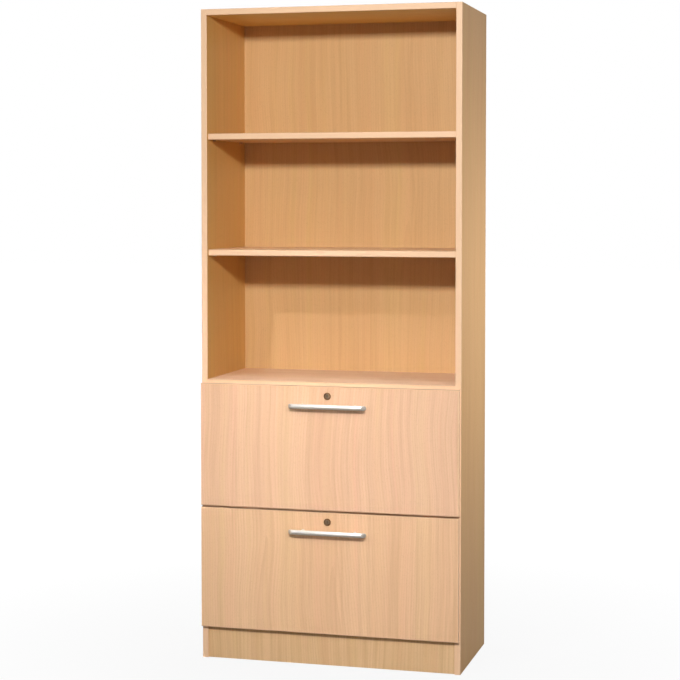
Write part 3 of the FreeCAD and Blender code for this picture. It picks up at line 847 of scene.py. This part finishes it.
def cageOutline(lowX, highX, ballX, firstY, lastY, ballYs):
    # The pockets of an outer strip break its edge on the cabinet side, so they are part of its outline
    pocket, sides = cageShape["pocket"], cageShape["pocketSides"]
    edge = highX if abs(highX - ballX) < abs(lowX - ballX) else lowX
    plain = lowX if edge == highX else highX
    spread = math.acos(min(1.0, abs(edge - ballX) / pocket))
    toward = 1.0 if edge > ballX else -1.0
    points = [(plain, firstY), (edge, firstY)]
    for y in ballYs:
        for number in range(sides + 1):
            angle = spread + (2.0 * math.pi - 2.0 * spread) * number / sides
            points.append((ballX + toward * pocket * math.cos(angle), y - pocket * math.sin(angle)))
    return points + [(edge, lastY), (plain, lastY)]


def cageStrip(shape, lowX, highX, ballX, firstY, lastY, z, broken):
    count, pitch = cageShape["count"], cageShape["pitch"]
    middle = (firstY + lastY) / 2.0
    ballYs = [middle + (number - (count - 1) / 2.0) * pitch for number in range(count)]
    if broken:
        outlines = [cageOutline(lowX, highX, ballX, firstY, lastY, ballYs)]
    else:
        pocket = circle(cageShape["pocket"], cageShape["pocketSides"])
        outlines = [[(lowX, firstY), (highX, firstY), (highX, lastY), (lowX, lastY)]]
        outlines += [[(ballX + dx, y + dy) for dx, dy in pocket] for y in ballYs]
    half = cageShape["thickness"] / 2.0
    levels = []
    for height in (z - half, z + half):
        levels.append([addLoop(shape, [(x, y, height) for x, y in outline]) for outline in outlines])
        fillBetween(shape, *levels[-1])
    for first, second in zip(*levels):
        joinLoops(shape, first, second)
    return ballYs[0]


def ballCages(drawer, stage):
    node = drawer + stage + "_ball_cages"
    low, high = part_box(node)
    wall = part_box("right_side_panel")[0][0]
    slideLow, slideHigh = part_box(drawer + "left_slide_cabinet_rail")
    middleZ = middleOf(slideLow, slideHigh, 2)
    across, up = cageShape[stage + "Across"], cageShape[stage + "Up"]
    strip = (across - cageShape["innerRim"], across + cageShape["innerRim"])
    if stage == "outer":
        strip = cageShape["outerStrip"]
    shape = bmesh.new()
    starts = []
    for side in slideSides.values():
        lowX, highX = sorted((side * (wall - strip[0]), side * (wall - strip[1])))
        for z in (middleZ - up, middleZ + up):
            ballX = side * (wall - across)
            firstBall = cageStrip(shape, lowX, highX, ballX, low[1], high[1], z, stage == "outer")
            starts.append(((ballX, firstBall, z), upward))
    body = drawer + stage + "_cages"
    addPiece(drawer + stage + "_cage_strips", shape, "zinc_steel", body, [node])
    ball = cageShape["ballRadius"]
    setRows(drawer + stage + "_balls", "ball", starts, "ball_steel", body, ball, ball, "zinc_steel",
            cageShape["count"], cageShape["pitch"])


stages = ("outer", "inner")
for drawer in drawers:
    for stage in stages:
        ballCages(drawer, stage)
print("ball cages:", len(stages) * len(drawers))


# Plastic parts of the slides: release levers on the drawer rails, stops at the back of the cabinet rails
plasticShape = {
    "leverLength": 0.070, "leverHeight": 0.006, "leverThick": 0.0016, "leverGap": 0.0001,
    "leverRise": 0.006, "leverBack": 0.02, "endSides": 10,
    "stopLength": 0.008, "stopThick": 0.008, "stopHeight": 0.022, "stopGap": 0.0002,
}


def slab(shape, outline, lowX, highX):
    first = addLoop(shape, [(lowX, y, z) for y, z in outline])
    second = addLoop(shape, [(highX, y, z) for y, z in outline])
    joinLoops(shape, first, second)
    shape.faces.new(first)
    shape.faces.new(second)


def leverOutline(y, z):
    radius, sides = plasticShape["leverHeight"] / 2.0, plasticShape["endSides"]
    half = plasticShape["leverLength"] / 2.0 - radius
    points = []
    for centre, start in ((y + half, -0.5), (y - half, 0.5)):
        for number in range(sides + 1):
            angle = math.pi * (start + number / sides)
            points.append((centre + radius * math.cos(angle), z + radius * math.sin(angle)))
    return points


def slidePlastics(drawer):
    look = plasticShape
    levers, stops = bmesh.new(), bmesh.new()
    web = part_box(drawer + "drawer_right_wall")[1][0] + fittings["railSheet"] + look["leverGap"]
    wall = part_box("right_side_panel")[0][0] - fittings["railSheet"] - look["stopGap"]
    half = look["stopHeight"] / 2.0
    for sideName, side in slideSides.items():
        low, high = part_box(drawer + sideName + "slide_drawer_rail")
        middle = middleOf(low, high, 2)
        outline = leverOutline(middleOf(low, high, 1) - look["leverBack"], middle + look["leverRise"])
        slab(levers, outline, *sorted((side * web, side * (web + look["leverThick"]))))
        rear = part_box(drawer + sideName + "slide_cabinet_rail")[1][1] - look["stopGap"]
        corners = [(rear - look["stopLength"], middle - half), (rear, middle - half),
                   (rear, middle + half), (rear - look["stopLength"], middle + half)]
        slab(stops, corners, *sorted((side * wall, side * (wall - look["stopThick"]))))
    addPiece(drawer + "slide_levers", levers, "black_plastic", drawer + "drawer")
    addPiece(drawer + "slide_stops", stops, "black_plastic", "carcass")


for drawer in drawers:
    slidePlastics(drawer)
for unit in units.values():
    bpy.data.objects.remove(unit)
print("slide plastics:", len(drawers))


# Studio: camera of the photograph, white floor and world, key near the camera, narrow fill from upper
# left, weak cards above, low in front and at the right, and two cards that light the left and the back
camera = {"location": (1.4044, -5.2222, 1.3953), "turn": 15.160, "tilt": 2.5, "lens": 93.754,
          "sensor": 36.0, "drop": -0.0927, "farthest": 100.0}
lamps = {
    "key": {"place": (0.98, -3.87, 2.375), "aim": (0.0, 0.0, 1.2), "size": 0.24,
            "watts": 125.5, "spread": 180.0},
    "fill": {"place": (-1.32, -3.90, 3.29), "aim": (-0.06, 0.0, 0.58), "size": 0.16,
             "watts": 1.06, "spread": 19.0},
    "topCard": {"place": (0.0, -0.85, 3.50), "aim": (0.0, -0.19, 0.81), "size": 0.60,
                "watts": 0.66, "spread": 28.0},
    "lowCard": {"place": (0.90, -3.40, 0.50), "aim": (0.0, 0.1, 1.35), "size": 0.90,
                "watts": 4.0, "spread": 180.0},
    "rightCard": {"place": (1.60, 0.25, 1.12), "aim": (0.4, 0.10, 1.12), "size": 0.50,
                  "watts": 7.0, "spread": 140.0},
    "leftCard": {"place": (-3.40, 1.50, 2.10), "aim": (-0.4, 0.0, 1.0), "size": 1.20,
                 "watts": 75.0, "spread": 180.0},
    "rearCard": {"place": (0.10, 3.40, 3.60), "aim": (0.0, 0.2, 1.2), "size": 1.40,
                 "watts": 100.0, "spread": 180.0},
}
surround = {"white": (1.0, 1.0, 1.0, 1.0), "ambient": 0.145, "skyBand": (0.05, 0.35), "horizon": 0.10,
            "sky": 1.0, "floorSize": 60.0, "floorTone": 0.22, "floorGlow": 1.04, "floorGlowShare": 0.88,
            "shadowBand": (0.4, 2.2)}


def makeCamera():
    data = bpy.data.cameras.new("photo_camera")
    data.sensor_width = camera["sensor"]
    data.lens = camera["lens"]
    data.shift_y = camera["drop"]
    data.clip_end = camera["farthest"]
    made = bpy.data.objects.new("photo_camera", data)
    made.location = camera["location"]
    made.rotation_euler = (math.radians(90.0 - camera["tilt"]), 0.0, math.radians(camera["turn"]))
    scene.collection.objects.link(made)
    scene.camera = made


def makeLamp(name, look):
    data = bpy.data.lights.new(name, "AREA")
    data.shape = "SQUARE"
    data.size = look["size"]
    data.energy = look["watts"]
    data.spread = math.radians(look["spread"])
    made = bpy.data.objects.new(name, data)
    made.location = look["place"]
    direction = Vector(look["aim"]) - Vector(look["place"])
    made.rotation_euler = direction.to_track_quat("-Z", "Y").to_euler()
    scene.collection.objects.link(made)


def blendValues(tree, amount, first, second):
    inputs = {0: amount, 2: first, 3: second}  # 2 and 3 are the two values of a Mix node
    return addNode(tree, "ShaderNodeMix", inputs).outputs[0]


def makeWorld():
    world = bpy.data.worlds.new("studio")
    tree = emptyTree(world)
    rays = addNode(tree, "ShaderNodeLightPath").outputs
    direction = addNode(tree, "ShaderNodeTexCoord").outputs["Generated"]
    height = splitAxes(tree, direction)["Z"]
    mirrored = remap(tree, height, *surround["skyBand"], surround["horizon"], surround["sky"])
    strength = blendValues(tree, rays["Is Glossy Ray"], surround["ambient"], mirrored)
    seen = calc(tree, "MAXIMUM", rays["Is Camera Ray"], rays["Is Transmission Ray"])
    inputs = {"Color": surround["white"], "Strength": blendValues(tree, seen, strength, 1.0)}
    background = addNode(tree, "ShaderNodeBackground", inputs)
    addNode(tree, "ShaderNodeOutputWorld", {"Surface": background.outputs[0]})
    scene.world = world


def makeFloor():
    bpy.ops.mesh.primitive_plane_add(size=surround["floorSize"])
    floor = bpy.context.object
    floor.name = "studio_floor"
    material = bpy.data.materials.new("studio_floor")
    tree = emptyTree(material)
    tone = surround["floorTone"]
    matte = addNode(tree, "ShaderNodeBsdfDiffuse", {"Color": (tone, tone, tone, 1.0)})
    glow = addNode(tree, "ShaderNodeEmission", {"Strength": surround["floorGlow"]})
    away = addNode(tree, "ShaderNodeVectorMath", {0: objectCoords(tree)}, operation="LENGTH").outputs["Value"]
    glowShare = remap(tree, away, *surround["shadowBand"], surround["floorGlowShare"], 1.0)
    seen = addNode(tree, "ShaderNodeLightPath").outputs["Is Camera Ray"]
    share = calc(tree, "MULTIPLY", seen, glowShare)
    mix = addNode(tree, "ShaderNodeMixShader", {0: share, 1: matte.outputs[0], 2: glow.outputs[0]})
    addNode(tree, "ShaderNodeOutputMaterial", {"Surface": mix.outputs[0]})
    floor.data.materials.append(material)


scene.view_settings.view_transform = "Standard"
makeCamera()
makeWorld()
makeFloor()
for lampName, lamp in lamps.items():
    makeLamp(lampName, lamp)
print("studio: camera, floor and", len(lamps), "lamps")
